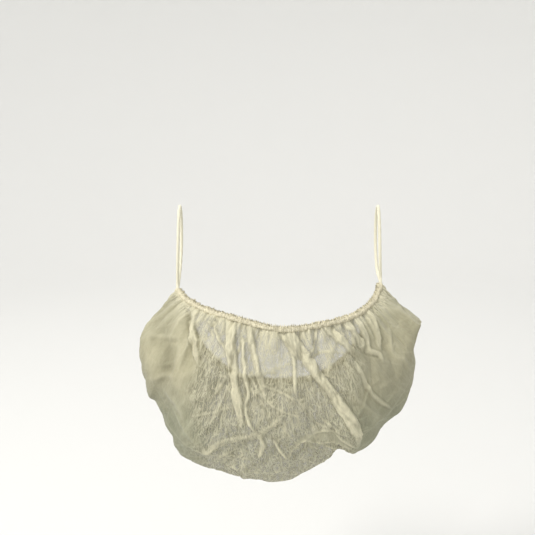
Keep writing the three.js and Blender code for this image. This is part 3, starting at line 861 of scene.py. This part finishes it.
def clothMaterial():
    look = clothFinish
    finish = Finish("spunbondCloth")
    run, place = finish.places()
    dense, paintedShade, layered = (finish.attribute(name) for name in ("dense", "paintedShade", "layered"))
    web = fibreWeb(finish, run, look["layers"])
    cloud, blotch, crumple = (finish.noise(place, *look[name]) for name in ("cloud", "blotch", "crumple"))
    layered = (layered + (blotch - 0.5) * look["layerRagged"]).ramp(*look["layerRamp"])
    calm = 1 - layered * look["layerCalm"]
    stops = (look["single"] + web * calm * look["webStops"] + dense * look["denseStops"]
             + layered * look["layerStops"] + (cloud - 0.5) * look["cloudStops"]).held(*look["stopsRange"])
    # painted shade: the cloth is mixed towards the greyer, darker low colour towards the bottom
    level = finish.node("ShaderNodeSeparateXYZ", {}, {0: place}, out=2)
    fromLevel, toLevel = look["lowShadeRange"]
    low = fromLevel - level + (blotch - 0.5) * look["lowShadeRagged"]
    low = (low / (fromLevel - toLevel)).held(0, 1)
    tint = finish.mixColour(blotch.ramp(*look["blotchRamp"]), look["grey"], look["pale"])
    tint = finish.mixColour(low * look["lowShadeShare"], tint, look["low"])
    tint = finish.mixColour(cloud.ramp(*look["cloudRamp"]), tint, look["deep"])
    tint = finish.mixColour((1 - web) * calm * look["gapShade"], tint, look["deep"])
    tint = finish.mixColour(web * calm * look["fibreShare"], tint, look["fibre"])
    # paler where the cloth lies in more layers, and where highlights are painted on raised bends, crease
    # lines and the flap's edge
    layersAndHighlights = (dense * (1 - look["foldFibres"] + look["foldFibres"] * web)).held(0, 1)
    tint = finish.mixColour(layersAndHighlights, tint, look["fold"])
    # painted shade beside folds, between their pleats, along hollow bends and below the flap
    tint = finish.mixColour(paintedShade * look["tuckShade"], tint, look["deep"])
    fine = finish.bump(look["fibreStrength"], look["fibreDepth"], web * calm)
    normal = finish.bump(look["crumpleStrength"], look["crumpleDepth"], crumple, Normal=fine)
    rough = look["rough"] + (cloud - 0.5) * look["roughRange"]
    return finish.sheer(look, tint, rough, normal, stops)


edgeFinish = {
    # deep is the painted shade in the crimps' valleys and gaps, and the dark of the random mottling
    "pale": (0.88, 0.82, 0.62, 1), "deep": (0.24, 0.21, 0.12, 1), "shine": (0.62, 0.58, 0.42, 1),
    "through": 0.22, "rough": 0.85, "roughRange": 0.12,
    "mottle": (620, 3, 0.6),  # scale, detail and roughness of the noises
    "gaps": (900, 2, 0.6), "crestHighlight": 1.1, "mottleFrom": 0.48, "mottlePale": 2.0,
    "gapShadeRamp": (0.57, 7, 0.6),  # from, steepness, most
    "holePitch": 0.0012, "holesRamp": (0.49, 14), "holesMost": 0.9, "fibreShare": 0.3, "depth": 0.0004,
    "strength": 0.8, "mottleHigh": 1.2, "stops": 0.45, "crestStops": 1.2, "holeStops": 0.35,
    "gapStops": 0.6, "stopsRange": (0.3, 1),
    "layers": [(84, 0.0016, 6, 0.08, 1.0), (66, 0.0013, 6, 0.08, 0.8), (-70, 0.0015, 6, 0.08, 0.8)],
}


def edgeMaterial():
    look = edgeFinish
    finish = Finish("crimpedHem")
    run, place = finish.places()
    web = fibreWeb(finish, run, look["layers"])
    mottle, gaps = (finish.noise(place, *look[name]) for name in ("mottle", "gaps"))
    crest, rim = (finish.attribute(name) for name in ("crest", "rim"))
    # painted light and shade: the crimps' crests paler, their valleys darker, with random mottling on top
    pale = crest * look["crestHighlight"] + (mottle - look["mottleFrom"]) * look["mottlePale"]
    tint = finish.mixColour(pale.held(0, 1), look["deep"], look["pale"])
    # painted shade: the small gaps between the crimps of the upper side, which also let more through, and
    # scattered dark specks, all painted dark
    holes = finish.noise(run, 1 / look["holePitch"], 1, 0.5, flat=True).ramp(*look["holesRamp"]) * rim
    crimpShade = gaps.ramp(*look["gapShadeRamp"]).above(holes * look["holesMost"])
    tint = finish.mixColour(crimpShade, tint, look["deep"])
    tint = finish.mixColour(web * look["fibreShare"], tint, look["pale"])
    normal = finish.bump(look["strength"], look["depth"], web + mottle * look["mottleHigh"])
    stops = (look["stops"] + crest * look["crestStops"] - holes * look["holeStops"]
             + (gaps - 0.5) * look["gapStops"]).held(*look["stopsRange"])
    return finish.sheer(look, tint, look["rough"] + (mottle - 0.5) * look["roughRange"], normal, stops)


loopFinish = {
    "pale": (0.82, 0.79, 0.64, 1),
    "deep": (0.50, 0.47, 0.35, 1),
    "yarns": [(0.52, 0.00115), (-0.52, 0.00115), (math.pi / 2, 0.00094)],  # angle and pitch of the covering
    "bandLength": 0.314,  # a wave texture of scale 1 has one band in this length
    "fuzz": (2600, 2, 0.6),
    "depth": 0.00018,
    "rough": 0.78,
}


def loopMaterial():
    look = loopFinish
    finish = Finish("coveredElastic")
    run, place = finish.places()
    yarns = []
    for angle, pitch in look["yarns"]:
        turned = finish.node("ShaderNodeMapping", {},
                             {"Vector": run, "Rotation": (0, 0, angle)})
        yarns.append(finish.node("ShaderNodeTexWave", {},
                                 {"Vector": turned, "Scale": look["bandLength"] / pitch, "Distortion": 0.6,
                                  "Detail": 1.0, "Detail Scale": 2.0}, out="Fac"))
    braid = yarns[0].above(yarns[1]) * 0.7 + yarns[2] * 0.3
    fuzz = finish.noise(place, *look["fuzz"])
    tint = finish.mixColour((braid * 0.8 + fuzz * 0.3).held(0, 1), look["deep"], look["pale"])
    normal = finish.bump(0.7, look["depth"], braid + fuzz * 0.5)
    front = finish.node("ShaderNodeBsdfPrincipled", {}, {
        "Base Color": tint, "Roughness": look["rough"] + (fuzz - 0.5) * 0.15, "Normal": normal,
        "Specular IOR Level": 0.3, "Sheen Weight": 0.3, "Sheen Roughness": 0.4})
    finish.node("ShaderNodeOutputMaterial", {}, {"Surface": front})
    return finish.material


# Stage, lights and camera

studio = {
    "floorLevel": -0.42, "floorRadius": 1.5, "floorSides": 96, "cornerSteps": 14, "cornerRadius": 1.0,
    "wallTop": 2.6, "colour": (0.68, 0.68, 0.672, 1), "worldColour": (1.0, 0.995, 0.98, 1),
    "worldStrength": 0.62,
    # name, place, size, power, colour
    "lamps": [("keyLamp", (-1.1, -0.95, 1.45), 0.7, 42, (1.0, 0.985, 0.95)),
              ("fillLamp", (1.5, -0.9, 0.35), 1.6, 5, (0.96, 0.98, 1.0)),
              ("backLamp", (0.3, 1.7, 2.2), 1.6, 30, (1.0, 0.99, 0.96))],
    "aim": (0.0, -0.05, -0.1), "cameraPlace": (-0.0088, -0.517, 0.0723), "cameraTilt": 77,
    "lens": 45.35,
}


def makeStage():
    bpy.ops.object.select_all(action="DESELECT")
    level, radius, corner = studio["floorLevel"], studio["floorRadius"], studio["cornerRadius"]
    bpy.ops.mesh.primitive_circle_add(vertices=studio["floorSides"], radius=radius, fill_type="NGON",
                                      location=(0, 0, level))
    floor = bpy.context.object
    floor.name = "studioFloor"
    bpy.ops.object.mode_set(mode="EDIT")
    bpy.ops.mesh.select_all(action="SELECT")
    bpy.ops.mesh.region_to_loop()
    steps, reach, height = studio["cornerSteps"], radius, 0.0
    for step in range(1, steps + 1):
        angle = math.pi / 2 * step / steps
        nextReach, nextHeight = radius + corner * math.sin(angle), corner * (1 - math.cos(angle))
        bpy.ops.mesh.extrude_region_move(TRANSFORM_OT_translate={"value": (0, 0, nextHeight - height)})
        growth = nextReach / reach
        bpy.ops.transform.resize(value=(growth, growth, 1), center_override=(0, 0, 0))
        reach, height = nextReach, nextHeight
    bpy.ops.mesh.extrude_region_move(TRANSFORM_OT_translate={"value": (0, 0, studio["wallTop"] - height)})
    bpy.ops.object.mode_set(mode="OBJECT")
    bpy.ops.object.transform_apply(location=True, rotation=False, scale=False)
    bpy.ops.object.shade_smooth()
    finish = Finish("studioPaper")
    paper = finish.node("ShaderNodeBsdfPrincipled", {}, {"Base Color": studio["colour"], "Roughness": 0.9,
                                                         "Specular IOR Level": 0.1})
    finish.node("ShaderNodeOutputMaterial", {}, {"Surface": paper})
    floor.data.materials.append(finish.material)


def makeLights():
    aim = Vector(studio["aim"])
    for name, place, size, power, colour in studio["lamps"]:
        bpy.ops.object.light_add(type="AREA", location=place)
        lamp = bpy.context.object
        lamp.name = name
        lamp.rotation_euler = (aim - Vector(place)).to_track_quat("-Z", "Y").to_euler()
        lamp.data.shape = "DISK"
        lamp.visible_camera = False
        lamp.data.size, lamp.data.energy, lamp.data.color = size, power, colour
    world = bpy.data.worlds.new("studioWorld")
    world.use_nodes = True
    sky = world.node_tree.nodes["Background"].inputs
    sky["Color"].default_value, sky["Strength"].default_value = studio["worldColour"], studio["worldStrength"]
    bpy.context.scene.world = world


def makeCamera():
    bpy.ops.object.camera_add(location=studio["cameraPlace"],
                              rotation=(math.radians(studio["cameraTilt"]), 0, 0))
    camera = bpy.context.object
    camera.name = "photoCamera"
    camera.data.lens = studio["lens"]
    camera.data.clip_start = 0.01
    bpy.context.scene.camera = camera
    bpy.context.scene.view_settings.view_transform = "Standard"


makeCamera()
makeStage()
makeLights()
print("stage ready")

pouch = makePouch()
pouch.data.materials.append(clothMaterial())
hem = makeEdge()
hem.data.materials.append(edgeMaterial())
elastic = loopMaterial()
loops = {node: makeEarLoop(name, hand) for node, name, hand in
         (("ear_loop_left", "earLoopLeft", -1), ("ear_loop_right", "earLoopRight", 1))}
for loop in loops.values():
    loop.data.materials.append(elastic)

for piece in (pouch, hem, *loops.values()):
    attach(piece, "root")
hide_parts("pouch_front", "pouch_rear")
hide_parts("elastic_edge")
for node, loop in loops.items():
    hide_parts(node)
clothArea = sum(face.area for face in pouch.data.polygons)
print("cloth area", round(clothArea, 4), "square metres")

print("pieces finished")
